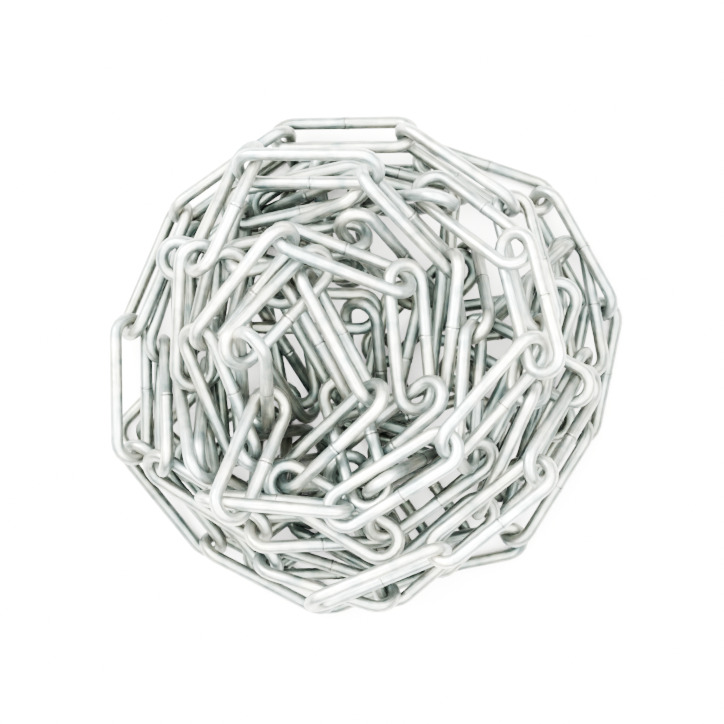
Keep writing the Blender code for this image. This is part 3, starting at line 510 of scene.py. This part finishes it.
def zinc(look):
    """Bright zinc plate on drawn wire."""
    material = bpy.data.materials.new("bright_zinc")
    material.use_nodes = True
    shader = material.node_tree.nodes["Principled BSDF"]
    shader.inputs["Metallic"].default_value = 1.0
    made = Nodes(material)
    wire = made.nodes.new("ShaderNodeUVMap")
    wire.uv_map = "Wire"
    wire = wire.outputs["UV"]
    # Painted shade: the plate darkens by the Shelter attribute, where other wires cover it from
    # above.
    plated = painted_shade(made, plate(made, look, wire), look)
    welded = made.mix("MIX", weld_scar(made, wire), plated, tuple(look.weld))
    speck = made.ramp(made.noise(SPECK_SCALE, 2, 0.45)["Fac"], SPECKS)
    made.put(made.mix("MIX", speck, welded, tuple(look.rust)), shader.inputs["Base Color"])
    rough = made.nodes.new("ShaderNodeMapRange")
    rough.inputs["To Min"].default_value = look.roughness - LESS_ROUGH
    rough.inputs["To Max"].default_value = look.roughness + MORE_ROUGH
    made.put(made.noise(SHEEN_SCALE, 4, 0.6)["Fac"], rough.inputs["Value"])
    made.put(rough.outputs["Result"], shader.inputs["Roughness"])
    bump = made.nodes.new("ShaderNodeBump")
    bump.inputs["Strength"].default_value = BUMP_STRENGTH
    bump.inputs["Distance"].default_value = BUMP_DEPTH
    made.put(made.noise(GRAIN_SCALE, 4, 0.6)["Fac"], bump.inputs["Height"])
    made.put(bump.outputs["Normal"], shader.inputs["Normal"])
    return material


def plate(made, look, wire):
    """The plate's colour: dull and bright patches, streaks along the wire, cool and warm tones."""
    lift = made.nodes.new("ShaderNodeCombineXYZ")
    made.put(made.vector("DOT_PRODUCT", made.object, DRIFT), lift.inputs["Z"])
    drawn = made.vector("ADD", made.vector("MULTIPLY", wire, STREAK), lift.outputs["Vector"])
    streaks = made.ramp(made.noise(1.0, 3, place=drawn)["Fac"], STREAK_TINTS)
    patches = ((0.30, tuple(look.shade)), (0.60, tuple(look.light)))
    mottle = made.ramp(made.noise(MOTTLE_SCALE, 3, 0.6)["Fac"], patches)
    tones = made.ramp(made.noise(CREAM_SCALE, 2)["Fac"], CREAM_TINTS)
    return made.mix("MULTIPLY", 1.0, made.mix("MULTIPLY", 1.0, mottle, streaks), tones)


def painted_shade(made, plated, look):
    """Painted shade: the plate is multiplied by the shade tint, the more the deeper it lies under
    other wires.
    """
    shelter = made.nodes.new("ShaderNodeAttribute")
    shelter.attribute_name = "Shelter"
    inner = made.mix("MULTIPLY", 1.0, plated, tuple(look.inner))
    return made.mix("MIX", shelter.outputs["Fac"], plated, inner)


def weld_scar(made, wire):
    """How strongly the weld shows: a thin uneven line across one leg, with a tint beside it."""
    stray = made.noise(GRAIN_SCALE, 2)["Color"]
    wobble = made.vector("MULTIPLY", stray, (WELD_WOBBLE, 0.0, 0.0))
    wobble = made.vector("ADD", wobble, (-WELD_WOBBLE / 2, 0.0, 0.0))
    split = made.nodes.new("ShaderNodeSeparateXYZ")
    made.put(made.vector("ADD", wire, wobble), split.inputs["Vector"])
    away = made.nodes.new("ShaderNodeMath")
    away.operation = "ABSOLUTE"
    made.put(split.outputs["X"], away.inputs[0])
    return made.ramp(away.outputs[0], SCAR)


class CHAINHEAP_OT_studio(Operator):
    """Make the pale floor, the soft lights and the camera over the heap"""

    bl_idname = "chain_heap.studio"
    bl_label = "Studio"

    def execute(self, context):
        look = context.scene.studio_look
        make_floor(look)
        make_lights(look)
        make_camera()
        return {"FINISHED"}


def make_floor(look):
    deselect()
    bpy.ops.mesh.primitive_plane_add(size=FLOOR_SIZE, location=(0, 0, 0))
    floor = bpy.context.object
    floor.name = "floor"
    material = bpy.data.materials.new("pale_floor")
    material.use_nodes = True
    shader = material.node_tree.nodes["Principled BSDF"]
    shader.inputs["Base Color"].default_value = (*look.floor, 1.0)
    shader.inputs["Roughness"].default_value = FLOOR_ROUGHNESS
    floor.data.materials.append(material)


def make_lights(look):
    world = bpy.data.worlds.new("studio")
    bpy.context.scene.world = world
    world.use_nodes = True
    background = world.node_tree.nodes["Background"]
    background.inputs["Color"].default_value = SKY_COLOUR
    background.inputs["Strength"].default_value = look.sky
    for name, place, size, power in (
        ("overhead_lamp", OVERHEAD_PLACE, look.lamp_size, look.lamp),
        ("side_lamp", SIDE_PLACE, SIDE_SIZE, look.lamp * SIDE_SHARE),
    ):
        lamp = bpy.data.lights.new(name, "AREA")
        lamp.shape = "DISK"
        lamp.size = size
        lamp.energy = power
        lamp.color = LAMP_COLOUR
        made = bpy.data.objects.new(name, lamp)
        made.location = place
        made.rotation_mode = "QUATERNION"
        made.rotation_quaternion = (-Vector(place)).to_track_quat("-Z", "Y")
        bpy.context.scene.collection.objects.link(made)


def make_camera():
    view = bpy.data.cameras.new("camera")
    view.sensor_width = SENSOR_MM
    view.lens = SENSOR_MM * FOCAL_PIXELS / PICTURE_PIXELS
    view.clip_start = NEAREST_SEEN
    camera = bpy.data.objects.new("camera", view)
    camera.location = (EYE_X, EYE_Y, EYE_Z)
    bpy.context.scene.collection.objects.link(camera)
    bpy.context.scene.camera = camera


class CHAINHEAP_PT_panel(Panel):
    """Sizes, colours and steps of the chain heap"""

    bl_idname = "CHAINHEAP_PT_panel"
    bl_label = "Chain Heap"
    bl_space_type = "VIEW_3D"
    bl_region_type = "UI"
    bl_category = "Chain Heap"

    def draw(self, context):
        for group in ("chain_sizes", "zinc_look", "studio_look"):
            settings = getattr(context.scene, group)
            for name in settings.bl_rna.properties.keys():
                if name not in ("rna_type", "name"):
                    self.layout.prop(settings, name)
        for operator in STEPS:
            self.layout.operator(operator.bl_idname)


STEPS = (CHAINHEAP_OT_links, CHAINHEAP_OT_studio)
CLASSES = (ChainSizes, ZincLook, StudioLook, *STEPS, CHAINHEAP_PT_panel)


def register():
    for part in CLASSES:
        bpy.utils.register_class(part)
    bpy.types.Scene.chain_sizes = PointerProperty(type=ChainSizes)
    bpy.types.Scene.zinc_look = PointerProperty(type=ZincLook)
    bpy.types.Scene.studio_look = PointerProperty(type=StudioLook)


def unregister():
    del bpy.types.Scene.studio_look
    del bpy.types.Scene.zinc_look
    del bpy.types.Scene.chain_sizes
    for part in reversed(CLASSES):
        bpy.utils.unregister_class(part)


def main():
    register()
    bpy.ops.chain_heap.links()
    bpy.ops.chain_heap.studio()


if __name__ == "__main__":
    main()
